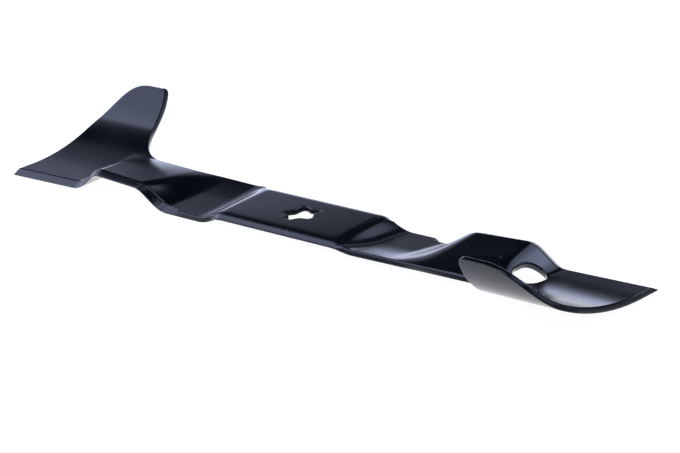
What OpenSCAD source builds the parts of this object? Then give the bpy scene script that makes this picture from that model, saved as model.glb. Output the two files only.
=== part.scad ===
// Lawn mower blade: one piece of steel plate, punched, pressed to shape, ground and painted.
// Origin: axis of the star hole on the top face of the centre flat. +X along the blade, +Z up.
// The blade is the same after half a turn about Z. Each half is described with X as the distance
// from the axis, and the edge that cuts lies on the -Y side of the -X half.
// Units: millimetres.

/* [Plate] */
// Length over both tips
blade_len = 533; // [520:1:560]
// Width over the centre flat and out to the trailing edges
blade_w = 57.4; // [56:0.2:59]
// Thickness of the plate
plate_t = 3.8; // [3:0.1:4.2]
// How far the leading edge of the formed part lies from the middle line
lead_set = 25; // [24.5:0.1:26]
// How much further forward the cutting edge stands at the tip
lead_flare = 2.8; // [1:0.1:3.5]

/* [Centre] */
// Distance from the axis to the first bend, at the leading edge
centre_lead = 52; // [51:0.5:54]
// Distance from the axis to the first bend, at the trailing edge
centre_trail = 57.5; // [56:0.5:60]
// Width of the ground bevel along both edges of the centre flat
centre_bevel = 4.2; // [3:0.1:6]
// Edge thickness left under that bevel
centre_land = 1.3; // [1:0.1:2.2]

/* [Dip and rise] */
// Depth of the dip at the leading edge, below the centre flat
dip_lead = 7.9; // [6:0.1:9]
// Depth of the dip at the trailing edge, below the centre flat
dip_trail = 2.3; // [1.8:0.05:3]
// Length of the first slope, down into the dip, at the leading edge
dip_in_lead = 17; // [15:0.5:19]
// Length of the first slope at the trailing edge
dip_in_trail = 11; // [10.5:0.5:13]
// Length of the floor of the dip at the leading edge
dip_run_lead = 44; // [40:0.5:48]
// Length of the floor of the dip at the trailing edge
dip_run_trail = 35.3; // [32:0.1:38]
// How much the floor of the dip sags between the edges
dip_sag = 1.5; // [0:0.1:2.5]
// How much the trailing edge rises along the floor of the dip
dip_lift = 0.7; // [0:0.1:1.5]
// Length of the rise at the leading edge
rise_run_lead = 18.3; // [17:0.1:21]
// Length of the rise at the trailing edge
rise_run_trail = 23.5; // [20:0.1:26]
// Height of the raised part at the leading edge, above the centre flat
rise_lead = 5.5; // [4:0.1:6]
// How far the raised part lies below the centre flat at the trailing edge
rise_trail = 1.75; // [1:0.05:2.5]
// Height of the ridge at its leading end, above the centre flat
ridge_lead = 7.8; // [7:0.1:9]
// Distance from the axis to the ridge at the leading edge
ridge_x = 179.2; // [177:0.1:181]
// Distance from the axis to the foot of the step
foot_x = 198.3; // [197.5:0.1:200]
// Rounding of the bends, measured along the plate to each side
bend_r = 5; // [4:0.1:5]

/* [Outer part and wing] */
// How far the outer flat lies below the centre flat
outer_drop = 5.9; // [5.2:0.1:6.6]
// Radius of the gentle curve behind the cutting edge
sweep_r = 140; // [132:1:150]
// Length of that curve, measured round the plate
sweep_len = 65; // [62:0.5:68]
// Radius of the tighter curl that stands the wing up
curl_r = 36; // [34:0.5:40]
// Length of the curl, measured round the plate
curl_len = 33; // [30:0.5:35]
// Distance from the axis to the inner edge of the wing
wing_in = 206.5; // [204:0.5:208]
// Radius of the corner between the wing and the trailing edge
root_r = 38.5; // [37:0.5:40]
// Length of the rounding of the wing towards the tip
wing_round = 41; // [36:0.5:44]

/* [Ground edges] */
// Width of the ground bevel along the leading edge
edge_bevel = 5.6; // [4:0.1:6]
// Edge thickness left under that bevel
edge_land = 0.6; // [0.4:0.1:1]

/* [Star hole] */
// Radius to the five points of the star
star_out = 12.8; // [12:0.1:14]
// Radius to the five inner corners of the star
star_in = 8.5; // [7.5:0.1:9]
// Rounding at the points of the star
star_tip_r = 2.2; // [1.6:0.1:2.6]

/* [Relief hole] */
// Width of the oval hole at the foot of the step
relief_w = 17.2; // [14:0.1:18]
// Length of the oval hole across the blade
relief_len = 22.6; // [20:0.1:27]
// Distance of its middle from the foot, up the step
relief_up = 3; // [1:0.1:4]
// Distance of its middle from the middle line, towards the trailing edge
relief_y = 3.2; // [2:0.1:6]
// Lean of the hole, which was punched before the step was pressed
relief_lean = 20; // [10:1:30]

/* [Hidden] */
half_len = blade_len / 2;
half_w = blade_w / 2;
// chamfer that stands for the rounding of a sheared edge
tiny = 0.4;
// margins of the centre flat, rolled down by the press: width and drop
roll_w = 11;
roll_drop = 0.4;
// the gentle curve starts this far in front of the middle line
sweep_y = -11.7;
// ridge: where it meets the trailing edge, and its fall across the blade before and after the kink
ridge_trail = 188.6;
ridge_fall = 0.095;
ridge_fall2 = 0.225;
ridge_kink = 7;
// softness of the kink, and where the step runs out into the wing
kink_r = 6;
run_out_y = 20;
// folds across the plate: distance and height at the leading and at the trailing edge, belly
dip_lead_x = centre_lead + dip_in_lead;
dip_trail_x = centre_trail + dip_in_trail;
dip_lead_end = dip_lead_x + dip_run_lead;
dip_trail_end = dip_trail_x + dip_run_trail;
folds = [
    [centre_lead, 0, centre_trail, 0, 0],
    [dip_lead_x, -dip_lead, dip_trail_x, -dip_trail, dip_sag],
    [dip_lead_end, -dip_lead, dip_trail_end, -dip_trail + dip_lift, dip_sag],
    [dip_lead_end + rise_run_lead, rise_lead, dip_trail_end + rise_run_trail, -rise_trail, 0]
];
// where the belly of a fold is deepest, as a share of the width
belly_at = 0.72;
belly_r = 0.22;
// rounding of each fold to each side, at the leading and at the trailing edge
fold_reach = [bend_r, bend_r + 1, bend_r + 1.5, bend_r + 0.5, bend_r + 1.5, bend_r + 1.5];
fold_reach_trail = [bend_r, bend_r + 1, bend_r + 1.5, bend_r + 0.5, bend_r - 1, bend_r - 1];
// the centre bevel fades out over this stretch past the first bend, at each edge
lead_fade = [1, 8];
trail_fade = [-1, 9];
// the leading edge steps back over this stretch past the first bend
set_back = [-2, 10];
// the rolled margins die out over this stretch past the first bend
roll_fade = [2, 16];
// the ground edge starts here, over this length
grind_x = 95;
grind_run = 12;
// outline of the wing in the unrolled plate
sweep_a = sweep_len / sweep_r * 180 / PI;
sweep_end_y = sweep_y + sweep_r * sin(sweep_a);
sweep_end_z = -outer_drop + sweep_r * (1 - cos(sweep_a));
wing_top = sweep_len + curl_len;
wing_corner_r = 4;
trail_s = sweep_r * asin((half_w - sweep_y) / sweep_r) * PI / 180;
root_s = trail_s + root_r;
root_c = wing_in - root_r;
root_a = 45;
neck_x = root_c + root_r * sin(root_a);
neck_s = root_s - root_r * cos(root_a);
// the rounding of the wing starts this far above the neck, and takes the rest of the side
round_start = 1;
// shares of the grid on the wing: end of the root arc, start of the small corner, end of the small
// corner, start of the long rounding above and at the side
root_share = 0.68;
corner_share = 0.87;
corner_end = 0.145;
round_share = 0.274;
side_share = 0.06;
wing_side = wing_top - neck_s - round_start;
// grid of the plate: rows across the body, rows up the wing
rows = 14;
wing_rows = 12;
// columns of the grid, as distances at the leading edge, at the middle row and at the trailing edge
mid_row = 10;
mid_u = mid_row / rows;
fold_r = bend_r;
near_fold = [-1, -0.6, -0.2, 0.2, 0.6, 1];
// the step dies out towards the trailing edge, so its columns draw together there
squeeze = 0.5;
ridge_gap = 1.8;
function straight(a, b) = [a, mix(a, b, mid_u), b];
fold_lines = [
    for (f = folds) straight(f[0], f[2]),
    [ridge_x, mix(ridge_x, ridge_trail, mid_u), neck_x - ridge_gap * fold_r],
    [foot_x, foot_x, neck_x - squeeze * fold_r]
];
// even steps strictly between two columns
function between(a, b, n) = [for (k = [1 : n]) a + (b - a) * k / (n + 1)];
function fold_cols(i) = [for (k = near_fold) fold_lines[i] + [k, k, i > 3 ? k * squeeze : k] * fold_r];
start = [0, 0, 0];
columns = concat(
    [start],
    between(start, fold_cols(0)[0], 3),
    fold_cols(0), fold_cols(1),
    between(fold_cols(1)[5], fold_cols(2)[0], 8),
    fold_cols(2), between(fold_cols(2)[5], fold_cols(3)[0], 2),
    fold_cols(3), between(fold_cols(3)[5], fold_cols(4)[0], 5),
    fold_cols(4), between(fold_cols(4)[5], fold_cols(5)[0], 1),
    fold_cols(5)
);
neck = len(columns) - 1;
wing_cols = 12;
grid_x = concat(columns, [for (k = [1 : wing_cols])
    columns[neck] + ([half_len, half_len, half_len] - columns[neck]) * k / wing_cols]);
// place in a column at a share u of the width
function col_x(i, u) = let (c = grid_x[i])
    u < mid_u ? mix(c[0], c[1], u / mid_u) : mix(c[1], c[2], (u - mid_u) / (1 - mid_u));
last = len(grid_x) - 1;

// a straight rise that starts softly: 0 before -r, x after r
function ramp(x, r) = x <= -r ? 0 : x >= r ? x : (x + r) * (x + r) / (4 * r);
// smooth change from 0 to 1 between a and b
function ease(a, b, x) = let (u = min(1, max(0, (x - a) / (b - a)))) u * u * (3 - 2 * u);
function mix(a, b, u) = a + (b - a) * u;

// section of the outer part, as a height over y
function wing_z(y) =
    y <= sweep_end_y
        ? -outer_drop + sweep_r * (1 - sqrt(1 - pow(max(0, (y - sweep_y) / sweep_r), 2)))
        : sweep_end_z + curl_r * (cos(sweep_a)
            - sqrt(1 - pow(min(0.9999, sin(sweep_a) + (y - sweep_end_y) / curl_r), 2)));
// the same section walked round the plate: [y, z, slope in degrees] after a length s
function wing_at(s) =
    s <= sweep_len
        ? let (a = max(0, s) / sweep_r * 180 / PI)
            [sweep_y + min(0, s) + sweep_r * sin(a), -outer_drop + sweep_r * (1 - cos(a)), a]
        : let (a = sweep_a + (s - sweep_len) / curl_r * 180 / PI)
            [sweep_end_y + curl_r * (sin(a) - sin(sweep_a)),
             sweep_end_z + curl_r * (cos(sweep_a) - cos(a)), a];

function ridge_z(y) = let (z = ridge_lead - ridge_fall * (y + lead_set)
        - (ridge_fall2 - ridge_fall) * ramp(y - ridge_kink, kink_r))
    y > run_out_y ? max(z, wing_z(y)) : z;
function belly(u) = let (v = min(1, max(0, u)))
    v / belly_at - (1 / belly_at + 1 / (1 - belly_at)) * ramp(v - belly_at, belly_r);

function roll(x, y) = let (share = max(0, 1 - min(y - lead_y(x), half_w - y) / roll_w))
    roll_drop * share * share * (1 - ease(centre_lead + roll_fade[0], centre_lead + roll_fade[1], x));

// all six folds at the line y: [distance, height]
function folds_at(y) = let (u = (y + lead_set) / (half_w + lead_set)) concat(
    [for (f = folds) [mix(f[0], f[2], u), mix(f[1], f[3], u) - f[4] * belly(u)]],
    [[mix(ridge_x, ridge_trail, u), ridge_z(y)], [foot_x, wing_z(y)]]);
// height of the top face: each fold adds its change of slope
function height(x, y) = let (
        f = folds_at(y),
        v = min(1, max(0, (y + lead_set) / (half_w + lead_set))),
        m = [for (i = [0 : 5]) i < 5 ? (f[i + 1][1] - f[i][1]) / (f[i + 1][0] - f[i][0]) : 0],
        parts = [for (i = [0 : 5])
            (m[i] - (i > 0 ? m[i - 1] : 0)) * ramp(x - f[i][0], mix(fold_reach[i], fold_reach_trail[i], v))])
    parts * [1, 1, 1, 1, 1, 1] - roll(x, y);
// unit normal of the top face, in the half that lies on -X
function face_normal(x, y) = let (
        h = 0.05,
        sx = (height(x + h, y) - height(x - h, y)) / (2 * h),
        sy = (height(x, y + h) - height(x, y - h)) / (2 * h),
        v = [sx, -sy, 1])
    v / norm(v);

// leading edge: its line, and [bevel width, edge thickness left]
function lead_y(x) = -mix(half_w, lead_set, ease(centre_lead + set_back[0], centre_lead + set_back[1], x))
    - lead_flare * min(1, max(0, (x - foot_x) / (half_len - foot_x)));
function bevel_fade(a, b, x) = let (k = ease(a, b, x))
    [mix(centre_bevel, tiny, k), mix(centre_land, plate_t - tiny, k)];
function lead_bevel(x) = let (
        q = min(1, max(0, (x - grind_x) / grind_run)),
        k = sqrt(1 - (1 - q) * (1 - q)))
    bevel_fade(centre_lead + lead_fade[0], centre_lead + lead_fade[1], x)
    + k * [edge_bevel - tiny, edge_land - plate_t + tiny];
function trail_bevel(x) = bevel_fade(centre_trail + trail_fade[0], centre_trail + trail_fade[1], x);
// trailing boundary of the body grid: straight, then round the root, then level with the neck
function trail_y(i) = let (x = grid_x[i][2])
    x <= root_c ? half_w
    : i < neck ? wing_at(root_s - sqrt(root_r * root_r - (x - root_c) * (x - root_c)))[0]
    : wing_at(neck_s)[0];

// nodes of the body grid
function top_node(i, j) = let (
        u = j / rows, x = col_x(i, u),
        b0 = lead_bevel(grid_x[i][0])[0],
        b1 = i < neck ? trail_bevel(grid_x[i][2])[0] : 0,
        y = mix(lead_y(grid_x[i][0]) + b0, trail_y(i) - b1, u))
    [-x, y, height(x, y)];
function low_node(i, j) = let (
        u = j / rows, x = col_x(i, u),
        y = mix(lead_y(grid_x[i][0]), trail_y(i), u))
    [-x, y, height(x, y)] - plate_t * face_normal(x, y);
function lead_node(i) = let (x = grid_x[i][0])
    low_node(i, 0) + lead_bevel(x)[1] * face_normal(x, lead_y(x));
function trail_node(i) = let (x = grid_x[i][2])
    low_node(i, rows) + trail_bevel(x)[1] * face_normal(x, trail_y(i));

// boundaries of the wing in the unrolled plate, as [distance, length round the plate]
function wing_low(w) = [mix(neck_x, half_len, w), neck_s];
function small_corner(a) =
    [wing_in + wing_corner_r * (1 - cos(a)), wing_top - wing_corner_r * (1 - sin(a))];
function wing_inner(t) =
    t < root_share
        ? let (a = mix(root_a, 90, t / root_share)) [root_c + root_r * sin(a), root_s - root_r * cos(a)]
    : t < corner_share
        ? [wing_in, mix(root_s, wing_top - wing_corner_r, (t - root_share) / (corner_share - root_share))]
    : small_corner(45 * (t - corner_share) / (1 - corner_share));
function round_at(a) = [half_len - wing_round * (1 - sin(a)), wing_top - wing_side * (1 - cos(a))];
function wing_outer(t) =
    t < side_share ? [half_len, neck_s + round_start * t / side_share]
    : round_at(mix(90, 45, (t - side_share) / (1 - side_share)));
function wing_upper(w) =
    w < corner_end ? small_corner(mix(45, 90, w / corner_end))
    : w < round_share
        ? [mix(wing_in + wing_corner_r, half_len - wing_round,
            (w - corner_end) / (round_share - corner_end)), wing_top]
    : round_at(45 * (w - round_share) / (1 - round_share));
// a point of the wing between its four boundaries
function wing_flat(w, t) =
    (1 - t) * wing_low(w) + t * wing_upper(w) + (1 - w) * wing_inner(t) + w * wing_outer(t)
    - (1 - w) * (1 - t) * wing_low(0) - w * (1 - t) * wing_low(1)
    - (1 - w) * t * wing_upper(0) - w * t * wing_upper(1);
// node of the wing on the top face (depth 0) or the under face (depth plate_t)
function wing_node(i, k, depth) = let (
        f = wing_flat((i - neck) / wing_cols, k / wing_rows), p = wing_at(f[1]))
    [-f[0], p[0] + depth * sin(p[2]), p[1] - depth * cos(p[2])];

// numbering of the nodes of one half
per_row = rows + 1;
body_n = (last + 1) * per_row;
low_0 = body_n;
lead_0 = 2 * body_n;
trail_0 = lead_0 + last + 1;
wing_0 = trail_0 + last + 1;
wing_n = (wing_cols + 1) * wing_rows;
half_n = wing_0 + 2 * wing_n;
half_nodes = concat(
    [for (i = [0 : last], j = [0 : rows]) top_node(i, j)],
    [for (i = [0 : last], j = [0 : rows]) low_node(i, j)],
    [for (i = [0 : last]) lead_node(i)],
    [for (i = [0 : last]) i < neck ? trail_node(i) : low_node(i, rows)],
    [for (i = [neck : last], k = [1 : wing_rows]) wing_node(i, k, 0)],
    [for (i = [neck : last], k = [1 : wing_rows]) wing_node(i, k, plate_t)]
);
// the second half shares the middle column of the first
function body(h, i, j, base) = i == 0 && h == 1 ? base + rows - j : h * half_n + base + i * per_row + j;
function top(h, i, j) = body(h, i, j, 0);
function low(h, i, j) = body(h, i, j, low_0);
function lead(h, i) = i == 0 && h == 1 ? trail_0 : h * half_n + lead_0 + i;
function trail(h, i) = i == 0 && h == 1 ? lead_0 : h * half_n + trail_0 + i;
function wing(h, i, k, under) = k == 0
    ? (under ? low(h, i, rows) : top(h, i, rows))
    : h * half_n + wing_0 + (under ? wing_n : 0) + (i - neck) * wing_rows + k - 1;
function quad(a, b, c, d) = [[a, b, c], [a, c, d]];
function flat_list(lists) = [for (l = lists) for (e = l) e];

function half_faces(h) = flat_list(concat(
    [for (i = [0 : last - 1], j = [0 : rows - 1])
        quad(top(h, i, j), top(h, i + 1, j), top(h, i + 1, j + 1), top(h, i, j + 1))],
    [for (i = [0 : last - 1], j = [0 : rows - 1])
        quad(low(h, i, j), low(h, i, j + 1), low(h, i + 1, j + 1), low(h, i + 1, j))],
    [for (i = [0 : last - 1]) quad(top(h, i, 0), lead(h, i), lead(h, i + 1), top(h, i + 1, 0))],
    [for (i = [0 : last - 1]) quad(lead(h, i), low(h, i, 0), low(h, i + 1, 0), lead(h, i + 1))],
    [for (i = [0 : neck - 2])
        quad(top(h, i, rows), top(h, i + 1, rows), trail(h, i + 1), trail(h, i))],
    [for (i = [0 : neck - 2])
        quad(trail(h, i), trail(h, i + 1), low(h, i + 1, rows), low(h, i, rows))],
    [[[top(h, neck - 1, rows), top(h, neck, rows), trail(h, neck - 1)]]],
    [quad(trail(h, neck - 1), top(h, neck, rows), low(h, neck, rows), low(h, neck - 1, rows))],
    [[[top(h, last, 0), lead(h, last), low(h, last, 0)]]],
    [for (j = [0 : rows - 1])
        quad(top(h, last, j), low(h, last, j), low(h, last, j + 1), top(h, last, j + 1))],
    [for (i = [neck : last - 1], k = [0 : wing_rows - 1])
        quad(wing(h, i, k, false), wing(h, i + 1, k, false),
             wing(h, i + 1, k + 1, false), wing(h, i, k + 1, false))],
    [for (i = [neck : last - 1], k = [0 : wing_rows - 1])
        quad(wing(h, i, k, true), wing(h, i, k + 1, true),
             wing(h, i + 1, k + 1, true), wing(h, i + 1, k, true))],
    [for (k = [0 : wing_rows - 1])
        quad(wing(h, neck, k, false), wing(h, neck, k + 1, false),
             wing(h, neck, k + 1, true), wing(h, neck, k, true))],
    [for (k = [0 : wing_rows - 1])
        quad(wing(h, last, k, false), wing(h, last, k, true),
             wing(h, last, k + 1, true), wing(h, last, k + 1, false))],
    [for (i = [neck : last - 1])
        quad(wing(h, i, wing_rows, false), wing(h, i + 1, wing_rows, false),
             wing(h, i + 1, wing_rows, true), wing(h, i, wing_rows, true))]
));

module formed_plate()
    polyhedron(
        points = concat(half_nodes, [for (p = half_nodes) [-p[0], -p[1], p[2]]]),
        faces = concat(half_faces(0), half_faces(1)));

// five points, the first one towards -Y, each a short arc between two straight flanks
module star() {
    tip_c = star_out - star_tip_r;
    polygon([for (k = [0 : 4]) let (a = 72 * k - 90) each concat(
        [for (d = [-60 : 30 : 60])
            tip_c * [cos(a), sin(a)] + star_tip_r * [cos(a + d), sin(a + d)]],
        [star_in * [cos(a + 36), sin(a + 36)]])]);
}

module star_hole()
    translate([0, 0, -3 * plate_t]) linear_extrude(height = 6 * plate_t) star();

module relief_hole() {
    deep = 12;
    run = relief_len - relief_w;
    translate([-foot_x, relief_y, -outer_drop]) rotate([0, -relief_lean, 0])
        translate([relief_up, 0, -deep]) {
            for (s = [-1, 1])
                translate([0, s * run / 2, 0]) cylinder(d = relief_w, h = 2 * deep, $fn = 48);
            translate([-relief_w / 2, -run / 2, 0]) cube([relief_w, run, 2 * deep]);
        }
}

module blade()
    color("#1b1d22")
    difference() {
        formed_plate();
        star_hole();
        relief_hole();
        rotate([0, 0, 180]) relief_hole();
    }

blade();
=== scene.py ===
# %% [markdown]
# # Lawn mower blade
# A mower blade is one strip of spring steel. It is punched, pressed to shape while hot, ground to an
# edge, and dipped in gloss black paint. Nothing is bolted to it, so the whole lesson is about one
# surface: how a flat strip gets its bends, and how a black coat shows them by what it mirrors.
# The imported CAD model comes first. It fixes the place and the size of everything that follows.

# %% Load the frame
from math import pi, radians

import bmesh
import bpy
import numpy as np
from mathutils import Matrix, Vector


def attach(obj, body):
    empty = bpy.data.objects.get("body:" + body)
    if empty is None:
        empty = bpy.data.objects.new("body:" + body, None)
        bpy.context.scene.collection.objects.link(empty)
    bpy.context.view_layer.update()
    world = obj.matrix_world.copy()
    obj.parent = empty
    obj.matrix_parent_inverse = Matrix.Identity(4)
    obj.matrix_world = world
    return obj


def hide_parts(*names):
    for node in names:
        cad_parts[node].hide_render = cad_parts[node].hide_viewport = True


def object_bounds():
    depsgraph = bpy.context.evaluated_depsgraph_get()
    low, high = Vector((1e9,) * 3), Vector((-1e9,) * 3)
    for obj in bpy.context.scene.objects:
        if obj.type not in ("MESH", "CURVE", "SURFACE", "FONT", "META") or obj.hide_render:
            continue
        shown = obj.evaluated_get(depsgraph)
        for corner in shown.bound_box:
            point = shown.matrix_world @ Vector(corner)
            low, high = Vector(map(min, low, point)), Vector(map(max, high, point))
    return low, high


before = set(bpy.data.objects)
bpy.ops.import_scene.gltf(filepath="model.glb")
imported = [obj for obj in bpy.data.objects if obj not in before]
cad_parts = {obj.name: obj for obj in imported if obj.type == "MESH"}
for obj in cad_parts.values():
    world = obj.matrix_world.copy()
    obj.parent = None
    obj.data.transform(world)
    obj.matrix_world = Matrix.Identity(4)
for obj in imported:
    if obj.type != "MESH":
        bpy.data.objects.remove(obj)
cad_box = [list(corner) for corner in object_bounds()]
print("CAD box in metres:", cad_box)

# %% [markdown]
# ## Sizes
# The same driving sizes as on the CAD drawing, in millimetres. Each half of the blade is described
# with X as the distance from the spindle, and the other half is the same half turned round.
# The rounding of the sheared edges is the one thing that the CAD model only hints at.

# %% Driving sizes in millimetres
MM = 0.001
half_len = max(cad_box[1][0], -cad_box[0][0]) / MM
half_w = 57.4 / 2
plate_t = 3.8
lead_set, lead_flare = 25.0, 2.8

centre_lead, centre_trail = 52.0, 57.5
centre_bevel, centre_land = 4.2, 1.3
roll_w, roll_drop, crown_drop = 11.0, 0.4, 0.6

dip_lead, dip_trail = 7.9, 2.3
rise_lead, ridge_lead = 5.5, 7.8
ridge_x, ridge_trail, foot_x = 179.2, 188.6, 198.3
ridge_fall, ridge_fall2, ridge_kink = 0.095, 0.225, 7.0
bend_r = 5.0

outer_drop, sweep_y = 5.9, -11.7
sweep_r, sweep_len = 140.0, 65.0
curl_r, curl_len = 36.0, 33.0
wing_in, wing_round, wing_corner_r = 206.5, 41.0, 4.0
root_r, root_a = 38.5, pi / 4
round_start = 1.0

edge_bevel, edge_land = 5.6, 0.6
grind_x, grind_run = 95.0, 12.0
top_round, low_round = 1.2, 0.4
centre_crown, centre_foot = 2.8, 0.7
crease_r, crease_foot = 0.8, 0.15

star_out, star_in, star_tip_r = 12.8, 8.5, 2.2
relief_w, relief_len = 17.2, 22.6
relief_up, relief_y, relief_lean = 3.0, 3.2, radians(20)

# %% [markdown]
# ## The folds
# A press bends the strip across its width six times on each side: down into a dip, up again, and
# down a step to the outer part. A bend could be an arc between two flats, but here every fold runs
# askew and the flats between them are twisted. So the height is a sum: each fold adds its change of
# slope, and a short parabola softens the start of it. The sum works for any line across the strip.

# %% Small helpers
def mix(a, b, u):
    """Straight line from a to b as u goes from 0 to 1."""
    return a + (b - a) * u


def ease(a, b, x):
    """Smooth change from 0 at a to 1 at b: 3u^2 - 2u^3."""
    u = np.clip((x - a) / (b - a), 0, 1)
    return u * u * (3 - 2 * u)


def ramp(x, r):
    """Zero before -r, x after r, and a parabola between them."""
    return np.where(x <= -r, 0, np.where(x >= r, x, (x + r) ** 2 / (4 * r)))


# %% Height of the top face
# each fold: place and height at the leading edge, the same at the trailing edge, depth of its belly
folds = [
    (centre_lead, 0, centre_trail, 0, 0),
    (centre_lead + 17, -dip_lead, centre_trail + 11, -dip_trail, 1.5),
    (113, -dip_lead, 103.8, -dip_trail + 0.7, 1.5),
    (131.3, rise_lead, 127.3, -1.75, 0),
]
belly_at, belly_r = 0.72, 0.22
# rounding of each fold at the leading and at the trailing edge
fold_reach = [(5, 5), (6, 6), (6.5, 6.5), (5.5, 5.5), (6.5, 4), (6.5, 4)]
sweep_a = sweep_len / sweep_r
sweep_end_y = sweep_y + sweep_r * np.sin(sweep_a)
sweep_end_z = -outer_drop + sweep_r * (1 - np.cos(sweep_a))


def wing_at(s):
    """Section of the outer part after a length s round the plate: y, z and slope.
    A flat, then an arc of radius sweep_r, then a tighter arc of radius curl_r."""
    gentle = np.maximum(0, s) / sweep_r
    tight = sweep_a + (s - sweep_len) / curl_r
    on_sweep = s <= sweep_len
    y = np.where(on_sweep, sweep_y + np.minimum(0, s) + sweep_r * np.sin(gentle),
                 sweep_end_y + curl_r * (np.sin(tight) - np.sin(sweep_a)))
    z = np.where(on_sweep, -outer_drop + sweep_r * (1 - np.cos(gentle)),
                 sweep_end_z + curl_r * (np.cos(sweep_a) - np.cos(tight)))
    return y, z, np.where(on_sweep, gentle, tight)


def wing_z(y):
    """The same section as a height over y, for the part that isn't too steep."""
    sweep = np.sqrt(1 - np.clip((y - sweep_y) / sweep_r, 0, 0.9999) ** 2)
    curl = np.sqrt(1 - np.clip(np.sin(sweep_a) + (y - sweep_end_y) / curl_r, -0.9, 0.9999) ** 2)
    return np.where(y <= sweep_end_y, -outer_drop + sweep_r * (1 - sweep),
                    sweep_end_z + curl_r * (np.cos(sweep_a) - curl))


def ridge_z(y):
    """Height of the ridge: a straight fall across the blade, steeper after the kink."""
    z = ridge_lead - ridge_fall * (y + lead_set) - (ridge_fall2 - ridge_fall) * ramp(y - ridge_kink, 6)
    return np.where(y > 20, np.maximum(z, wing_z(y)), z)


def lead_y(X):
    """Line of the leading edge: wide at the centre flat, then set back, then flaring to the tip."""
    return (-mix(half_w, lead_set, ease(centre_lead - 2, centre_lead + 10, X))
            - lead_flare * np.clip((X - foot_x) / (half_len - foot_x), 0, 1))


def roll(X, y):
    """How far the margins of the centre flat are rolled down: a parabola over the width roll_w,
    and a very flat one over the whole width."""
    from_edge = np.minimum(y - lead_y(X), half_w - y)
    share = np.clip(1 - from_edge / roll_w, 0, None) ** 2
    return (roll_drop * share + crown_drop * (y / half_w) ** 2) * (1 - ease(centre_lead + 2, centre_lead + 16, X))


def height(X, y):
    """Height of the top face at X along and y across: the sum of change of slope times ramp."""
    u = (y + lead_set) / (half_w + lead_set)
    v = np.clip(u, 0, 1)
    belly = v / belly_at - (1 / belly_at + 1 / (1 - belly_at)) * ramp(v - belly_at, belly_r)
    at = [mix(f[0], f[2], u) for f in folds] + [mix(ridge_x, ridge_trail, u), foot_x + 0 * y]
    z = [mix(f[1], f[3], u) - f[4] * belly for f in folds] + [ridge_z(y), wing_z(y)]
    total, slope = 0, 0
    for i, (reach_lead, reach_trail) in enumerate(fold_reach):
        after = (z[i + 1] - z[i]) / (at[i + 1] - at[i]) if i < 5 else 0
        total = total + (after - slope) * ramp(X - at[i], mix(reach_lead, reach_trail, v))
        slope = after
    return total - roll(X, y)


def on_body(X, y, depth):
    """Point of the plate at (X, y), a depth below the top face along its normal."""
    h = 0.02
    slope_x = (height(X + h, y) - height(X - h, y)) / (2 * h)
    slope_y = (height(X, y + h) - height(X, y - h)) / (2 * h)
    normal = np.stack([slope_x, -slope_y, np.ones_like(slope_x)], -1)
    normal /= np.linalg.norm(normal, axis=-1, keepdims=True)
    return np.stack([-X, y, height(X, y)], -1) - np.asarray(depth)[..., None] * normal


def on_centre(x, y, depth):
    """The same for places (x, y) on both halves of the centre flat."""
    side = np.where(x > 0, -1, 1)
    return on_body(np.abs(x), side * y, depth) * np.stack([side, side, np.ones_like(side)], -1)


def on_wing(X, s, depth):
    """The same on the wing, where s is the length round the plate."""
    y, z, a = wing_at(s)
    normal = np.stack([0 * X, -np.sin(a), np.cos(a)], -1)
    return np.stack([-X, y, z], -1) - np.asarray(depth)[..., None] * normal


# %% [markdown]
# ## The edges
# A press shears the outline, which rounds the upper edge a little, and a wheel then grinds the
# cutting edges. Both are one profile with two numbers: how far the face stops short of the outline,
# and how deep the edge face starts. Equal small numbers give a quarter round, and a wide, deep pair
# gives a ground bevel. Where one fades into the other, so do the numbers.

# %% Edge profile
CREASE_STEPS, BEVEL_STEPS, FOOT_STEPS, FACE_STEPS, LOW_STEPS = 4, 3, 3, 2, 3
TOP_STEPS = CREASE_STEPS + BEVEL_STEPS + FOOT_STEPS
LEVELS = TOP_STEPS + FACE_STEPS + LOW_STEPS + 1


def steps(n, first=0):
    """Shares from 0 to 1 in n steps, as a column."""
    return np.linspace(0, 1, n + 1)[first:, None]


def bevel_profile(width, drop, soft, foot):
    """A ground bevel: a crease that starts softly over a reach soft, a straight run, and a rounded
    foot that starts and ends at a distance foot from the corner (a parabola through three points)."""
    run = np.concatenate([width + soft * mix(1, -1, steps(CREASE_STEPS)),
                          mix(width - soft, foot, steps(BEVEL_STEPS, 1))])
    depth = drop / width * ramp(width - run, soft)
    v = steps(FOOT_STEPS, 1)
    inset = np.concatenate([run, (1 - v) ** 2 * foot])
    at_foot = drop * (1 - foot / width)
    curve = (1 - v) ** 2 * at_foot + 2 * v * (1 - v) * drop + v ** 2 * (drop + foot)
    return inset, np.concatenate([depth, curve])


def edge_profile(width, drop, ground, soft, foot):
    """(inset, depth) down the edge, one row per level: from the top face over a quarter round
    (ground = 0) or a ground bevel (ground = 1), down the edge face and round the lower edge."""
    angle = steps(TOP_STEPS) * pi / 2
    inset, depth = bevel_profile(width, drop, soft, foot)
    inset = mix(top_round * (1 - np.sin(angle)), inset, ground)
    depth = mix(top_round * (1 - np.cos(angle)), depth, ground)
    face = mix(depth[-1:], plate_t - low_round, steps(FACE_STEPS, 1))
    a = steps(LOW_STEPS, 1) * pi / 2
    low = low_round * (1 - np.cos(a)) + 0 * depth[-1:]
    low_depth = plate_t - low_round + low_round * np.sin(a) + 0 * depth[-1:]
    return np.concatenate([inset, 0 * face, low]), np.concatenate([depth, face, low_depth])


def sheared_inset(depth):
    """Inset of a sheared edge at a given depth."""
    up = np.clip((top_round - depth) / top_round, 0, 1)
    low = np.clip((depth - plate_t + low_round) / low_round, 0, 1)
    return top_round * (1 - np.sqrt(1 - up ** 2)) + low_round * (1 - np.sqrt(1 - low ** 2))


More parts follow.
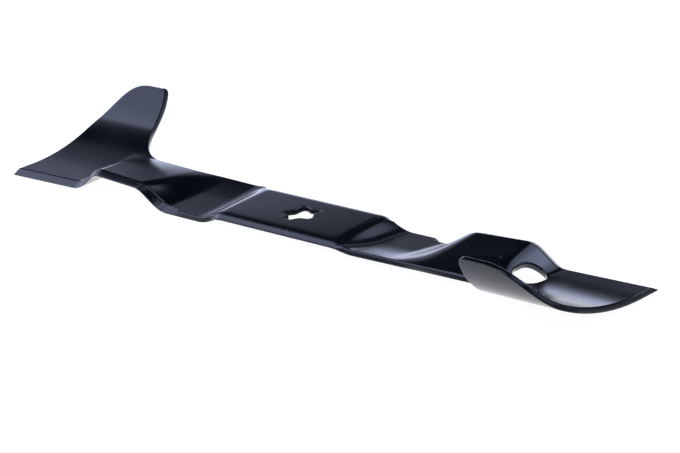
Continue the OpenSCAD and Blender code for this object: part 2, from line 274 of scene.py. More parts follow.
def centre_grind(start, end, X):
    """Share of the bevel of the centre flat, fading out between start and end."""
    return 1 - ease(start, end, X)


def grind(centre, edge):
    """Profile sizes for a share of the centre bevel and a share of the cutting bevel:
    width, drop, grinding share, softness of the crease and of the foot."""
    centre, edge = np.asarray(centre, float), np.asarray(edge, float)

    def size(sheared, at_centre, at_edge):
        return sheared + centre * (at_centre - sheared) + edge * (at_edge - sheared)

    return (size(top_round, centre_bevel, edge_bevel),
            size(top_round, plate_t - centre_land, plate_t - edge_land),
            ease(0, 0.5, centre + edge),
            size(0.3, centre_crown, crease_r), size(0.3, centre_foot, crease_foot))


def lead_grind(X):
    """The profile sizes along the leading edge, with the long cutting bevel from grind_x on."""
    q = np.clip((X - grind_x) / grind_run, 0, 1)
    return grind(centre_grind(centre_lead + 1, centre_lead + 8, X), np.sqrt(1 - (1 - q) ** 2))


def trail_grind(X):
    """The same along the trailing edge."""
    return grind(centre_grind(centre_trail - 1, centre_trail + 9, X), 0 * X)


# %% [markdown]
# ## The grid
# The plate is one sheet of small squares. Its columns follow the folds, close together in a bend
# and further apart on a flat, because a bend shows every facet in gloss paint. At the trailing edge
# the last two folds run into the root of the wing, so the columns draw together there.

# %% Columns and rows
ROWS, WING_COLS, WING_ROWS = 48, 44, 36
MID_U = 10 / 14
SQUEEZE = 0.5
WINDOW_X = 20.0
EDGE_STRIP = 0.15

root_c = wing_in - root_r
trail_s = sweep_r * np.arcsin((half_w - sweep_y) / sweep_r)
root_s = trail_s + root_r
neck_x = root_c + root_r * np.sin(root_a)
neck_s = root_s - root_r * np.cos(root_a)
wing_top = sweep_len + curl_len
wing_side = wing_top - neck_s - round_start


def shares(n, first, last, length):
    """n + 1 shares from 0 to 1, with a narrow strip at the ends that border an edge,
    which keeps the light on the flat from bending towards it."""
    strip = EDGE_STRIP / length
    u = np.linspace(0, 1, n + 1 - first - last)
    u = mix(strip * first, 1 - strip * last, u)
    return np.concatenate([[0.0] * first, u, [1.0] * last])


def column_places():
    """Distance of each column at the leading edge, at the middle row and at the trailing edge."""
    lines = [(f[0], mix(f[0], f[2], MID_U), f[2]) for f in folds]
    lines.append((ridge_x, mix(ridge_x, ridge_trail, MID_U), neck_x - 3.6 * SQUEEZE * bend_r))
    lines.append((foot_x, foot_x, neck_x - SQUEEZE * bend_r))
    reach = np.array([[bend_r] * 3] * 4 + [[bend_r, bend_r, bend_r * SQUEEZE]] * 2)
    knots = [np.zeros(3), np.full(3, WINDOW_X)]
    for line, r in zip(np.array(lines), reach):
        knots += [line - r, line + r]
    steps = [16, 22, 12, 5, 12, 24, 12, 6, 12, 26, 12, 7, 12]
    runs = [a + (b - a) * (np.arange(n) / n)[:, None] for a, b, n in zip(knots, knots[1:], steps)]
    return np.concatenate(runs + [knots[-1][None]])


columns = column_places()
neck = len(columns) - 1
last = neck + WING_COLS
u_row = shares(ROWS, 1, 1, 52.0)
u_wing = shares(WING_COLS, 0, 1, 70.0)
t_wing = shares(WING_ROWS, 0, 1, 55.0)
print("columns:", last + 1, "rows:", ROWS + 1)


def all_columns(end_inset):
    """The columns of the body and of the outer part, up to end_inset short of the tip."""
    tip = np.full(3, half_len - end_inset)
    return np.concatenate([columns, columns[neck] + (tip - columns[neck]) * u_wing[1:, None]])


def place_in_column(c, u):
    """Distance at a share u of the width: two straight runs through the middle row."""
    inner = mix(c[:, None, 0], c[:, None, 1], u / MID_U)
    outer = mix(c[:, None, 1], c[:, None, 2], (u - MID_U) / (1 - MID_U))
    return np.where(u < MID_U, inner, outer)


def trailing_line(c, inset):
    """Trailing boundary as (X, y): straight, then round the root, then level across the neck."""
    X, y = c[:, 2].copy(), half_w - inset
    r = root_r + inset
    a = np.arcsin(np.clip((c[:, 2] - root_c) / root_r, 0, np.sin(root_a)))
    on_root = (c[:, 2] > root_c) & (np.arange(len(c)) <= neck)
    y = np.where(on_root, wing_at(root_s - r * np.cos(a))[0], y)
    X = np.where(on_root, root_c + r * np.sin(a), X)
    start = (root_c + r[neck] * np.sin(root_a), root_s - r[neck] * np.cos(root_a))
    X[neck:] = mix(start[0], c[last, 2], u_wing)
    y[neck:] = wing_at(mix(start[1], neck_s, np.minimum(1, 6 * u_wing)))[0]
    return X, y


def body_sheet(lead_inset, trail_inset, end_inset):
    """(X, y) of every node of the body between its insets."""
    c = all_columns(end_inset)
    X_trail, y_trail = trailing_line(c, trail_inset)
    u = u_row[None, :]
    X = place_in_column(c, u) + (X_trail - c[:, 2])[:, None] * u ** 4
    y_lead = lead_y(c[:, 0]) + lead_inset
    return X, mix(y_lead[:, None], y_trail[:, None], u)


# %% [markdown]
# ## The wing
# Behind each tip the strip is wider, and that tongue is curled up to throw the cut grass. Flat, its
# outline is easy to draw: a big round corner at the root, a small one at the top, and a long
# rounding down to the tip. So it is drawn flat, filled in between its four sides, and only then
# rolled up along the section.

# %% Outline and filling of the wing
def corner_arc(cx, cs, r, a):
    """Point of an arc as (X, s), where the angle a starts at +s and turns towards +X."""
    return np.stack([cx + r * np.sin(a), cs + r * np.cos(a)], -1)


def wing_rounding(a, d):
    """The long rounding towards the tip, moved in by d: a quarter of an ellipse."""
    return np.stack([half_len - wing_round + (wing_round - d) * np.sin(a),
                     wing_top - wing_side + (wing_side - d) * np.cos(a)], -1)


def wing_inner(t, d):
    """Inner side, moved in by d: round the root, straight up, and half of the small corner."""
    to_straight, to_corner = 0.68, 0.87
    root = np.stack([root_c + (root_r + d) * np.sin(mix(root_a, pi / 2, t / to_straight)),
                     root_s - (root_r + d) * np.cos(mix(root_a, pi / 2, t / to_straight))], -1)
    up = np.stack([wing_in + d + 0 * t,
                   mix(root_s, wing_top - wing_corner_r, (t - to_straight) / (to_corner - to_straight))], -1)
    corner = corner_arc(wing_in + wing_corner_r, wing_top - wing_corner_r, wing_corner_r - d,
                        -pi / 2 + pi / 4 * (t - to_corner) / (1 - to_corner))
    return np.where((t < to_straight)[..., None], root, np.where((t < to_corner)[..., None], up, corner))


def wing_outer(t, d):
    """Outer side, moved in by d: a short straight piece, then half of the long rounding."""
    to_round = 0.06
    straight = np.stack([half_len - d + 0 * t, neck_s + round_start * t / to_round], -1)
    rounding = wing_rounding(mix(pi / 2, pi / 4, (t - to_round) / (1 - to_round)), d)
    return np.where((t < to_round)[..., None], straight, rounding)


def wing_upper(w, d):
    """Upper side, moved in by d: the rest of the small corner, straight, and the long rounding."""
    to_straight, to_round = 0.145, 0.274
    corner = corner_arc(wing_in + wing_corner_r, wing_top - wing_corner_r, wing_corner_r - d,
                        mix(-pi / 4, 0, w / to_straight))
    along = (w - to_straight) / (to_round - to_straight)
    straight = np.stack([mix(wing_in + wing_corner_r, half_len - wing_round, along), wing_top - d + 0 * w], -1)
    rounding = wing_rounding(pi / 4 * (w - to_round) / (1 - to_round), d)
    return np.where((w < to_straight)[..., None], corner, np.where((w < to_round)[..., None], straight, rounding))


def wing_sheet(d):
    """(X, s) between the four sides moved in by d: the sum of both straight fillings
    less the filling of the four corners (a Coons patch)."""
    start = wing_inner(np.zeros(1), d)[0]
    end = np.array([half_len - d, neck_s])
    lower = np.stack([mix(start[0], end[0], u_wing), mix(start[1], end[1], np.minimum(1, 6 * u_wing))], -1)
    upper, inner, outer = wing_upper(u_wing, d), wing_inner(t_wing, d), wing_outer(t_wing, d)
    t, w = t_wing[None, :, None], u_wing[:, None, None]
    return ((1 - t) * lower[:, None] + t * upper[:, None] + (1 - w) * inner[None] + w * outer[None]
            - (1 - w) * (1 - t) * lower[0] - w * (1 - t) * lower[-1]
            - (1 - w) * t * upper[0] - w * t * upper[-1])


# %% [markdown]
# ## The holes
# The star takes the drive from the spindle. The oval hole at the foot of the step lets the plate
# bend there without tearing. A boolean could cut both, but it leaves long thin faces that gloss
# paint shows at once. So a window is left open in the sheet, and rings of squares lead from its rim
# to the outline of the hole, and on down its wall.

# %% Outlines of the holes
RINGS = 10


def star_outline(n, grow):
    """n points round the star, moved out by grow: a tangent arc at each point of the star, and
    straight flanks that meet at the inner corners."""
    per_arm, on_arc = n // 5, n // 10
    tip = star_out - star_tip_r
    corner = star_in * np.array([np.cos(pi / 5), np.sin(pi / 5)])
    gap = corner - [tip, 0]
    flank = np.arctan2(gap[1], gap[0]) - np.arccos(star_tip_r / np.hypot(*gap))
    corner = corner * (1 + grow / np.cos(flank - pi / 5) / star_in)
    a = np.linspace(0, flank, on_arc // 2 + 1)
    arc = np.stack([tip + (star_tip_r + grow) * np.cos(a), (star_tip_r + grow) * np.sin(a)], -1)
    k = np.linspace(0, 1, per_arm // 2 - on_arc // 2 + 1)[1:, None]
    half = np.concatenate([arc, mix(arc[-1], corner, k)])
    arm = np.concatenate([half[:0:-1] * [1, -1], half])[1:]
    turn = 2 * pi * np.arange(5) / 5 - pi / 2
    rot = np.array([[np.cos(turn), np.sin(turn)], [-np.sin(turn), np.cos(turn)]])
    return np.concatenate([arm @ rot[:, :, i] for i in range(5)])


def oval_outline(share, grow):
    """Stadium at shares of its length, from its +along side: (along the step, across the blade)."""
    r, run = relief_w / 2 + grow, relief_len - relief_w
    s = np.mod(share, 1) * (2 * run + 2 * pi * r)
    marks = np.cumsum([run / 2, pi * r, run, pi * r, run / 2])
    a, b = (s - marks[0]) / r, (s - marks[2]) / r + pi
    pieces = [np.stack([r + 0 * s, s], -1),
              np.stack([r * np.cos(a), run / 2 + r * np.sin(a)], -1),
              np.stack([-r + 0 * s, run / 2 - (s - marks[1])], -1),
              np.stack([r * np.cos(b), -run / 2 + r * np.sin(b)], -1),
              np.stack([r + 0 * s, -run / 2 + (s - marks[3])], -1)]
    return np.select([(s < m)[:, None] for m in marks], pieces, pieces[-1])


def relief_place(out, depth, start):
    """Place (X, y) on the plate, at a depth, that the leaning punch meets, for points of its
    outline: a few Newton steps along and across."""
    along = np.array([np.cos(relief_lean), 0, np.sin(relief_lean)])
    centre = np.array([-foot_x, relief_y, -outer_drop]) + relief_up * along
    X, y, h = start[:, 0].copy(), start[:, 1].copy(), 0.01
    for _ in range(12):
        here = on_body(X, y, depth) - centre
        there = on_body(X + h, y, depth) - centre
        X = X + (out[:, 0] - here @ along) / ((there - here) @ along / h)
        y = y + out[:, 1] - here[:, 1]
    return np.stack([X, y], -1)


# %% Windows in the sheet
def window_rim(grid, i0, i1, j0, j1):
    """Rim of an index window as one closed run of nodes."""
    return np.concatenate([grid[i1, j0:j1], grid[i1:i0:-1, j1], grid[i0, j1:j0:-1], grid[i0:i1, j0]])


def window_over(places, x0, x1, y0, y1):
    """Index window (i0, i1, j0, j1) of the body sheet that covers a stretch along and across."""
    X, y = places[..., 0], places[..., 1]
    near = np.abs(X[:, 0] - (x0 + x1) / 2).argmin()
    j0, j1 = np.searchsorted(y[near], [y0, y1]) - [1, 0]
    i0 = np.searchsorted(X[:, j0:j1 + 1].max(1), x0) - 1
    i1 = np.searchsorted(X[:, j0:j1 + 1].min(1), x1)
    return i0, i1, j0, j1


def centre_rim(places, i1, j0, j1):
    """Rim of the centre window, which spans both halves, anticlockwise seen from above."""
    one = places * [-1, 1]
    two = places * [1, -1]
    return np.concatenate([one[i1:0:-1, j0], two[:i1, j1], two[i1, j1:j0:-1],
                           two[i1:0:-1, j0], one[:i1, j1], one[i1, j1:j0:-1]])


# %% [markdown]
# ## Sewing the sheets together
# Top, underside, edges and hole walls are separate sheets that share their rims point for point.
# They are put into one mesh, the second half is the first turned by half a turn, and points that
# fall together are merged. A closed mesh has no edge with fewer or more than two faces, which is
# checked at the end.

# %% Build the mesh
class Sheets:
    """Collects grids of points and their squares."""

    def __init__(self):
        self.points, self.faces, self.ground, self.count = [], [], [], 0

    def add(self, grid, skip=None, closed=False, ground=None, both=True):
        """A grid [m, n, 3] of points. skip is an index window left open; closed joins the last
        column of nodes to the first; ground marks nodes on ground metal."""
        ground = np.zeros(grid.shape[:2]) if ground is None else ground
        if closed:
            grid = np.concatenate([grid, grid[:, :1]], 1)
            ground = np.concatenate([ground, ground[:, :1]], 1)
        m, n = grid.shape[:2]
        index = np.arange(m * n).reshape(m, n)
        quads = np.stack([index[:-1, :-1], index[1:, :-1], index[1:, 1:], index[:-1, 1:]], -1)
        keep = np.ones((m - 1, n - 1), bool)
        for i0, i1, j0, j1 in skip or []:
            keep[i0:i1, j0:j1] = False
        quads = quads[keep]
        for sign in (1, -1) if both else (1,):
            self.points.append((grid * [sign, sign, 1]).reshape(-1, 3))
            self.ground.append(ground.reshape(-1))
            self.faces.append(quads + self.count)
            self.count += m * n
        return self


def make_piece(name, sheets):
    """One merged, closed mesh object in metres, with the ground share kept as an attribute."""
    points = np.concatenate(sheets.points) * MM
    faces = np.concatenate(sheets.faces)
    mesh = bpy.data.meshes.new(name)
    mesh.from_pydata(points, [], faces.tolist())
    ground = mesh.attributes.new("ground", "FLOAT", "POINT")
    ground.data.foreach_set("value", np.concatenate(sheets.ground).astype(np.float32))
    work = bmesh.new()
    work.from_mesh(mesh)
    bmesh.ops.remove_doubles(work, verts=work.verts, dist=2e-6)
    bmesh.ops.dissolve_degenerate(work, dist=1e-7, edges=work.edges)
    bmesh.ops.recalc_face_normals(work, faces=work.faces)
    open_edges = sum(1 for e in work.edges if len(e.link_faces) != 2)
    work.to_mesh(mesh)
    work.free()
    mesh.shade_smooth()
    mesh.set_sharp_from_angle(angle=radians(26))
    piece = bpy.data.objects.new(name, mesh)
    bpy.context.scene.collection.objects.link(piece)
    triangles = sum(len(p.vertices) - 2 for p in mesh.polygons)
    print(name, "triangles:", triangles, "open edges:", open_edges)
    return piece


def column_grind(c):
    """Profiles of the leading and trailing edges, a row per level and a column per column."""
    lead = edge_profile(*[np.asarray(v)[None, :] for v in lead_grind(c[:, 0])])
    trail = edge_profile(*[np.asarray(v)[None, :] for v in trail_grind(c[:, 2])])
    return lead, trail


# %% Faces of the plate
STAR_ROWS, STAR_COLS = 4, 15
STAR_RING = 16.0
RELIEF_MARGIN = 2.6

plain_in, plain_depth = [v[:, 0] for v in edge_profile(*np.reshape(grind(0, 0), (5, 1, 1)))]
(lead_in, lead_depth), (trail_in, trail_depth) = column_grind(all_columns(0))
FACES = {0: 0.0, LEVELS - 1: plate_t}
places = {k: np.stack(body_sheet(lead_in[k], trail_in[k], plain_in[k]), -1) for k in FACES}

relief_mid, relief_half = foot_x - relief_up * np.cos(relief_lean), relief_w / 2 + RELIEF_MARGIN
relief_window = window_over(places[0], relief_mid - relief_half, relief_mid + relief_half,
                            relief_y - relief_len / 2 - RELIEF_MARGIN, relief_y + relief_len / 2 + RELIEF_MARGIN)
star_window = (0, STAR_COLS, STAR_ROWS, ROWS - STAR_ROWS)
print("windows:", relief_window, star_window)


def add_faces(sheets):
    """Top and underside of the body and of the wing."""
    for k, depth in FACES.items():
        body = on_body(places[k][..., 0], places[k][..., 1], depth)
        sheets.add(body, skip=[relief_window, star_window])
        flat = wing_sheet(plain_in[k])
        wing = on_wing(flat[..., 0], flat[..., 1], depth)
        wing[:, 0] = body[neck:, -1]
        sheets.add(wing)


# %% Edges of the plate
TIP_EASE = 0.12


def add_edges(sheets):
    """Leading edge, tip, rim of the wing and trailing edge, one row of points per level."""
    lead, tip, trail, rim = [], [], [], []
    for k in range(LEVELS):
        X = all_columns(sheared_inset(lead_depth[k, last]))[:, 0]
        lead.append(on_body(X, lead_y(X) + lead_in[k], lead_depth[k]))
        depth = mix(lead_depth[k, last], plain_depth[k], ease(0, TIP_EASE, u_row))
        y = mix(lead_y(X[last]) + lead_in[k, last], wing_at(np.array(neck_s))[0], u_row)
        tip.append(on_body(half_len - sheared_inset(depth), y, depth))
        X, y = trailing_line(all_columns(plain_in[k]), trail_in[k])
        trail.append(on_body(X[:neck + 1], y[:neck + 1], trail_depth[k, :neck + 1]))
        d = plain_in[k]
        X, s = np.concatenate([wing_outer(t_wing, d), wing_upper(u_wing, d)[-2::-1],
                               wing_inner(t_wing, d)[-2::-1]]).T
        rim.append(on_wing(X, s, plain_depth[k] + 0 * X))
    c = all_columns(0)
    on_bevel = (np.arange(LEVELS) <= TOP_STEPS)[:, None]
    sheets.add(np.array(lead), ground=on_bevel * lead_grind(c[:, 0])[2])
    sheets.add(np.array(trail), ground=on_bevel * trail_grind(c[:neck + 1, 2])[2])
    sheets.add(np.array(tip))
    sheets.add(np.array(rim))


# %% Oval holes
def add_relief_hole(sheets):
    """Rings round the oval hole on both faces, and the wall between them."""
    rims = {k: window_rim(places[k], *relief_window) for k in FACES}
    step = np.linalg.norm(np.roll(rims[0], -1, 0) - rims[0], axis=1)
    share = (np.cumsum(step) - step) / step.sum()
    start = np.argmin(np.abs(rims[0][:, 1] - relief_y) + 1e3 * (rims[0][:, 0] > relief_mid))
    share = share[start] - share
    wall, at = [], rims[0]
    for k in range(LEVELS):
        at = relief_place(oval_outline(share, plain_in[k]), plain_depth[k] + 0 * share, at)
        wall.append(on_body(at[:, 0], at[:, 1], plain_depth[k] + 0 * share))
        if k in FACES:
            ring = mix(at[None], rims[k][None], shares(RINGS, 1, 0, 8.0)[:, None, None])
            sheets.add(on_body(ring[..., 0], ring[..., 1], FACES[k]), closed=True)
    sheets.add(np.array(wall), closed=True)


# %% Star hole
def add_star_hole(sheets):
    """Rings from the star to a circle and on to the window, and the wall."""
    wall = []
    for k in range(LEVELS):
        rim = centre_rim(places[min(FACES, key=lambda f: abs(f - k))], *star_window[1:])
        outline = star_outline(len(rim), plain_in[k])
        wall.append(on_centre(outline[:, 0], outline[:, 1], plain_depth[k]))
        if k in FACES:
            a = np.arctan2(outline[:, 1], outline[:, 0])
            turn = np.angle(np.exp(1j * (np.arctan2(rim[:, 1], rim[:, 0]) - a[0])))
            rim = np.roll(rim, -np.argmin(np.abs(turn)), 0)
            circle = STAR_RING * np.stack([np.cos(a), np.sin(a)], -1)
            inner = mix(outline[None], circle[None], shares(RINGS, 1, 0, 4.0)[:, None, None])
            outer = mix(circle[None], rim[None], np.linspace(0, 1, 3)[1:, None, None])
            ring = np.concatenate([inner, outer])
            sheets.add(on_centre(ring[..., 0], ring[..., 1], FACES[k]), closed=True, both=False)
    sheets.add(np.array(wall), closed=True, both=False)


# %% One mesh
sheets = Sheets()
add_faces(sheets)
add_edges(sheets)
add_relief_hole(sheets)
add_star_hole(sheets)
blade = make_piece("blade_plate", sheets)
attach(blade, "root")
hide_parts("blade")

# %% [markdown]
# ## Gloss black paint
# The coat is dipped and baked: nearly black with a trace of blue, smooth, with a faint orange peel,
# and a few dull spots where dust settled in it. Under it the ground bevels keep the marks of the
# wheel, and where the wheel first touched the edge it left a few curved steps. All of this is
# worked out from the place on the blade, and the curved steps are turned so that both halves get the same ones.

# %% Paint
PAINT = (0.003, 0.0035, 0.006)
GLOSS, DULL, GROUND_DULL, SPECK_DULL = 0.15, 0.2, 0.03, 0.2
TOUCH_X, TOUCH_Y, TOUCH_STEP = 0.088, -0.034, 0.0052
TOUCH_END = 0.118


def add_math(tree, operation, first, second=None):
    """A maths node with sockets or numbers as inputs; returns its output."""
    node = tree.nodes.new("ShaderNodeMath")
    node.operation = operation
    for i, value in enumerate((first, second)):
        if isinstance(value, (int, float)):
            node.inputs[i].default_value = value
        elif value is not None:
            tree.links.new(value, node.inputs[i])
    return node.outputs[0]


def add_noise(tree, place, scale, detail):
    """A noise texture on the given coordinates; returns its value."""
    node = tree.nodes.new("ShaderNodeTexNoise")
    node.inputs["Scale"].default_value = scale
    node.inputs["Detail"].default_value = detail
    tree.links.new(place, node.inputs["Vector"])
    return node.outputs["Fac"]


def add_range(tree, value, low, high, to_low=0.0, to_high=1.0):
    """Maps a value from one range to another, held at the ends."""
    node = tree.nodes.new("ShaderNodeMapRange")
    for name, number in (("From Min", low), ("From Max", high), ("To Min", to_low), ("To Max", to_high)):
        node.inputs[name].default_value = number
    tree.links.new(value, node.inputs["Value"])
    return node.outputs["Result"]


def add_bump(tree, height, distance, normal=None):
    """A bump node for a height between 0 and 1; returns its normal."""
    node = tree.nodes.new("ShaderNodeBump")
    node.inputs["Distance"].default_value = distance
    tree.links.new(height, node.inputs["Height"])
    if normal is not None:
        tree.links.new(normal, node.inputs["Normal"])
    return node.outputs["Normal"]


def wheel_marks(tree, place, ground):
    """Heights of the marks of the wheel: fine scratches across the bevel everywhere on ground
    metal, and curved steps round the point where the wheel first touched."""
    split = tree.nodes.new("ShaderNodeSeparateXYZ")
    tree.links.new(place, split.inputs[0])
    side = add_math(tree, "SIGN", split.outputs["X"])
    along = add_math(tree, "ABSOLUTE", split.outputs["X"])
    across = add_math(tree, "MULTIPLY", split.outputs["Y"], add_math(tree, "MULTIPLY", side, -1))
    dx = add_math(tree, "SUBTRACT", along, TOUCH_X)
    dy = add_math(tree, "SUBTRACT", across, TOUCH_Y)
    square = add_math(tree, "ADD", add_math(tree, "MULTIPLY", dx, dx), add_math(tree, "MULTIPLY", dy, dy))
    radius = add_math(tree, "SQRT", square)
    rings = add_math(tree, "SINE", add_math(tree, "MULTIPLY", radius, 2 * pi / TOUCH_STEP))
    near = add_math(tree, "MULTIPLY", add_range(tree, along, TOUCH_END, TOUCH_END - 0.006), ground)
    near = add_math(tree, "MULTIPLY", near, add_range(tree, along, TOUCH_X, TOUCH_X + 0.006))
    stretch = tree.nodes.new("ShaderNodeMapping")
    stretch.inputs["Scale"].default_value = (1, 0.03, 0.03)
    tree.links.new(place, stretch.inputs["Vector"])
    scratch = add_math(tree, "MULTIPLY", add_noise(tree, stretch.outputs[0], 2200, 1), ground)
    return scratch, add_math(tree, "MULTIPLY", rings, near)


def paint_material():
    """Dipped gloss paint with orange peel and dust, and wheel marks where the metal was ground."""
    material = bpy.data.materials.new("gloss_black_paint")
    material.use_nodes = True
    tree = material.node_tree
    shader = tree.nodes["Principled BSDF"]
    shader.inputs["Base Color"].default_value = (*PAINT, 1)
    shader.inputs["IOR"].default_value = 1.5
    shader.inputs["Specular Tint"].default_value = (0.8, 0.88, 1, 1)
    coords = tree.nodes.new("ShaderNodeTexCoord")
    place = coords.outputs["Object"]
    read = tree.nodes.new("ShaderNodeAttribute")
    read.attribute_name = "ground"
    ground = read.outputs["Fac"]
    cloud = add_range(tree, add_noise(tree, place, 45, 5), 0.3, 0.7, GLOSS, DULL)
    speck = add_range(tree, add_noise(tree, place, 330, 2), 0.74, 0.78)
    rough = add_math(tree, "ADD", cloud, add_math(tree, "MULTIPLY", speck, SPECK_DULL))
    rough = add_math(tree, "ADD", rough, add_math(tree, "MULTIPLY", ground, GROUND_DULL))
    tree.links.new(rough, shader.inputs["Roughness"])
    scratch, rings = wheel_marks(tree, place, ground)
    normal = add_bump(tree, add_noise(tree, place, 700, 2), 0.000003)
    normal = add_bump(tree, speck, 0.00003, normal)
    normal = add_bump(tree, scratch, 0.000006, normal)
    normal = add_bump(tree, rings, 0.00014, normal)
    tree.links.new(normal, shader.inputs["Normal"])
    return material


blade.data.materials.append(paint_material())

# %% [markdown]
# ## Studio
# Gloss black shows the room and hardly itself, so the room is most of the look. It could be a
# photograph of a studio, but a few soft cards are easier to read and to move. Each card is a piece
# of a big dome round the blade, given by compass direction and height above the horizon. A large
# one stands at the front left, a strip hangs behind, a dim one is up on the right, and the white
# backdrop glows just above the horizon and fades upwards.

# %% Cards
DOME_R = 3.0


def card(name, el, az_0, az_1, level, across=(1, 1), soft=0):
    """Patch of the dome between two compass directions, with 0 to the right and 90 behind.
    el lists heights in degrees; az_0, az_1 and level (the light) belong to them, and across lists
    shares of that light at even steps from az_0 to az_1. The light grows to its full strength over the
    first soft degrees."""
    u, v = np.meshgrid(np.linspace(0, 1, 61), np.linspace(0, 1, 25))
    e = mix(el[0], el[-1], v)
    start, end = np.interp(e, el, az_0), np.interp(e, el, az_1)
    a = np.radians(mix(start, end, u))
    glow_level = np.interp(e, el, level) * np.interp(u, np.linspace(0, 1, len(across)), across)
    if soft:
        glow_level = glow_level * np.clip((end - start) * u / soft, 0, 1)
    e = np.radians(e)
    points = DOME_R * np.stack([np.cos(e) * np.cos(a), np.cos(e) * np.sin(a), np.sin(e)], -1).reshape(-1, 3)
    index = np.arange(u.size).reshape(u.shape)
    quads = np.stack([index[:-1, :-1], index[1:, :-1], index[1:, 1:], index[:-1, 1:]], -1).reshape(-1, 4)
    mesh = bpy.data.meshes.new(name)
    mesh.from_pydata(points, [], quads.tolist())
    glow = mesh.attributes.new("glow", "FLOAT", "POINT")
    glow.data.foreach_set("value", glow_level.reshape(-1).astype(np.float32))
    piece = bpy.data.objects.new(name, mesh)
    bpy.context.scene.collection.objects.link(piece)
    material = bpy.data.materials.new(name)
    material.use_nodes = True
    nodes, links = material.node_tree.nodes, material.node_tree.links
    nodes.clear()
    out = nodes.new("ShaderNodeOutputMaterial")
    emit = nodes.new("ShaderNodeEmission")
    emit.inputs["Color"].default_value = (*COOL, 1)
    read = nodes.new("ShaderNodeAttribute")
    read.attribute_name = "glow"
    links.new(read.outputs["Fac"], emit.inputs["Strength"])
    links.new(emit.outputs["Emission"], out.inputs["Surface"])
    mesh.materials.append(material)
    piece.visible_camera = False
    return piece


COOL = (0.84, 0.92, 1.24)
card("card_left", (-1, 10, 25, 38, 42, 50, 66), (155, 159, 162, 169, 171, 172, 172),
     (262, 262, 262, 264, 264, 266, 266), (1.7, 1.7, 1.7, 1.75, 1.8, 2.1, 2.1), soft=10)
card("card_behind", (39.5, 47, 50.5, 56), (45, 45, 45, 45), (113, 112, 109, 106), (1.1, 1.1, 1.1, 0.4),
     (4.4, 4.3, 4.2, 4.1, 3.2, 2.4, 1.7, 1.3, 1.1, 1.1))
card("card_right", (50, 72), (-12, -12), (36, 36), (0.95, 0.95))
card("card_side", (0, 8, 34, 40), (-8, -8, -8, -8), (56, 56, 56, 56), (0.5, 1.1, 1.1, 0.3), (0.2, 1, 1, 1, 0.2))
card("card_front", (2, 10, 36, 44), (-88, -88, -88, -88), (-12, -12, -12, -12), (0.1, 0.4, 0.4, 0.0),
     (0, 1, 1, 1, 0))
card("card_above", (78, 83, 90), (0, 0, 0), (360, 360, 360), (0.5, 2.6, 2.6))
card("backdrop", (-1, 5, 7, 9, 11, 13, 16), [100] * 7, [158.5] * 7,
     (2.0, 2.0, 1.4, 0.7, 0.3, 0.15, 0.0), (0, 0.3, 0.7, 0.8, 0.9, 1, 1, 0.9, 0.6))
card("backdrop_right", (21, 22, 25, 28), (118, 118, 118, 118), (130.5, 130.5, 130, 129),
     (0.0, 0.42, 0.42, 0.0), (0, 0.6, 1, 1, 1, 1))
card("backdrop_high", (11, 15, 20, 22, 24, 28, 32, 36), (130, 131, 134, 137, 140, 145, 150, 154), [159] * 8,
     (0.1, 0.5, 0.6, 0.45, 0.35, 0.3, 0.2, 0.05), (0, 0.5, 0.9, 1, 0.9, 0.8, 0.8, 0.8))

# %% Floor
floor_z = cad_box[0][2]
FLOOR_GLOW = 0.95
FLOOR_DARK, FLOOR_STEEP, FLOOR_FAR = 0.15, 1.15, 2.0


def floor_material():
    """White paper: a matt sheet that keeps the shadow, with a glow that only the camera and mirror
    rays see, so that the background is white without more light on the blade. In the blade the
    paper is brightest behind on the left, and dark in front, on the right and, as a painted shadow
    of the blade, under its middle, unless it is seen steeply."""
    material = bpy.data.materials.new("white_floor")
    material.use_nodes = True
    tree = material.node_tree
    tree.nodes.clear()
    out = tree.nodes.new("ShaderNodeOutputMaterial")
    paper = tree.nodes.new("ShaderNodeBsdfDiffuse")
    paper.inputs["Color"].default_value = (0.3, 0.3, 0.3, 1)
    glow = tree.nodes.new("ShaderNodeEmission")
    path = tree.nodes.new("ShaderNodeLightPath").outputs
    place = tree.nodes.new("ShaderNodeTexCoord")
    split = tree.nodes.new("ShaderNodeSeparateXYZ")
    tree.links.new(place.outputs["Object"], split.inputs[0])
    behind = add_range(tree, split.outputs["Y"], -0.05, 0.0, FLOOR_DARK, FLOOR_FAR)
    left = add_range(tree, split.outputs["X"], 0.18, 0.28, FLOOR_FAR, FLOOR_DARK)
    # painted shadow: the glow that mirror rays see is dark under the middle of the blade, in place of the shadow
    # that the blade casts on the paper there
    painted_shadow_under_middle = add_range(tree, add_math(tree, "ABSOLUTE", split.outputs["X"]), 0.08, 0.14,
                           FLOOR_DARK, FLOOR_FAR)
    mirror = add_math(tree, "MINIMUM", add_math(tree, "MINIMUM", behind, left), painted_shadow_under_middle)
    tilt = tree.nodes.new("ShaderNodeLayerWeight").outputs["Facing"]
    steep = add_range(tree, tilt, 0.46, 0.65, FLOOR_STEEP, FLOOR_DARK)
    mirror = add_math(tree, "MAXIMUM", steep, mirror)
    mirror = add_math(tree, "MULTIPLY", mirror, path["Is Glossy Ray"])
    seen = add_math(tree, "ADD", mirror, path["Is Camera Ray"])
    tree.links.new(add_math(tree, "MULTIPLY", seen, FLOOR_GLOW), glow.inputs["Strength"])
    both = tree.nodes.new("ShaderNodeAddShader")
    tree.links.new(paper.outputs[0], both.inputs[0])
    tree.links.new(glow.outputs[0], both.inputs[1])
    tree.links.new(both.outputs[0], out.inputs["Surface"])
    return material


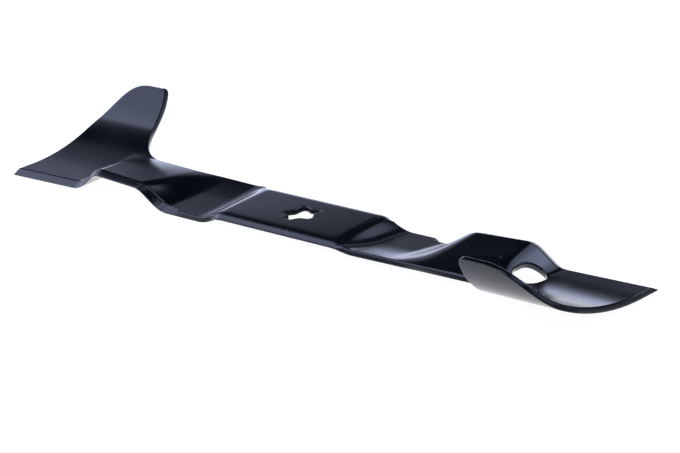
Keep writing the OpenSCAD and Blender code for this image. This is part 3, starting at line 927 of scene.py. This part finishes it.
bpy.ops.mesh.primitive_plane_add(size=12, location=(0, 0, floor_z - 0.0002))
floor = bpy.context.object
floor.name = "floor"
floor.data.materials.append(floor_material())

# %% World
def studio_world():
    """A nearly dark room that the camera sees as white."""
    world = bpy.data.worlds.new("studio")
    world.use_nodes = True
    nodes, links = world.node_tree.nodes, world.node_tree.links
    room = nodes["Background"]
    room.inputs["Color"].default_value = (0.8, 0.9, 1.1, 1)
    room.inputs["Strength"].default_value = 0.008
    white = nodes.new("ShaderNodeBackground")
    white.inputs["Color"].default_value = (1, 1, 1, 1)
    path = nodes.new("ShaderNodeLightPath")
    pick = nodes.new("ShaderNodeMixShader")
    links.new(path.outputs["Is Camera Ray"], pick.inputs[0])
    links.new(room.outputs[0], pick.inputs[1])
    links.new(white.outputs[0], pick.inputs[2])
    links.new(pick.outputs[0], nodes["World Output"].inputs["Surface"])
    return world


bpy.context.scene.world = studio_world()

# %% [markdown]
# ## Camera
# The photograph was taken from low on the right, with a long lens, and leaning a little.

# %% Camera
azimuth, elevation, roll = radians(46.93), radians(19.64), radians(-6.23)
lens_px, image_w, distance = 2486.6, 680, 1.5971
shift_right, shift_up = -0.02485, 0.00886


def set_camera():
    """Places the camera from its azimuth, elevation and roll."""
    right = np.array([np.cos(azimuth), np.sin(azimuth), 0])
    ahead = np.array([-np.sin(azimuth) * np.cos(elevation), np.cos(azimuth) * np.cos(elevation), -np.sin(elevation)])
    up = np.cross(right, ahead)
    image_right = np.cos(roll) * right + np.sin(roll) * up
    image_up = -np.sin(roll) * right + np.cos(roll) * up
    place = -distance * ahead - shift_right * image_right - shift_up * image_up
    data = bpy.data.cameras.new("camera")
    data.sensor_width = 36
    data.lens = lens_px / image_w * data.sensor_width
    camera = bpy.data.objects.new("camera", data)
    matrix = Matrix.Identity(4)
    for i, column in enumerate((image_right, image_up, -ahead, place)):
        for j in range(3):
            matrix[j][i] = column[j]
    camera.matrix_world = matrix
    bpy.context.scene.collection.objects.link(camera)
    bpy.context.scene.camera = camera
    print("camera at", [round(v, 4) for v in place])


set_camera()
bpy.context.scene.view_settings.view_transform = "Standard"
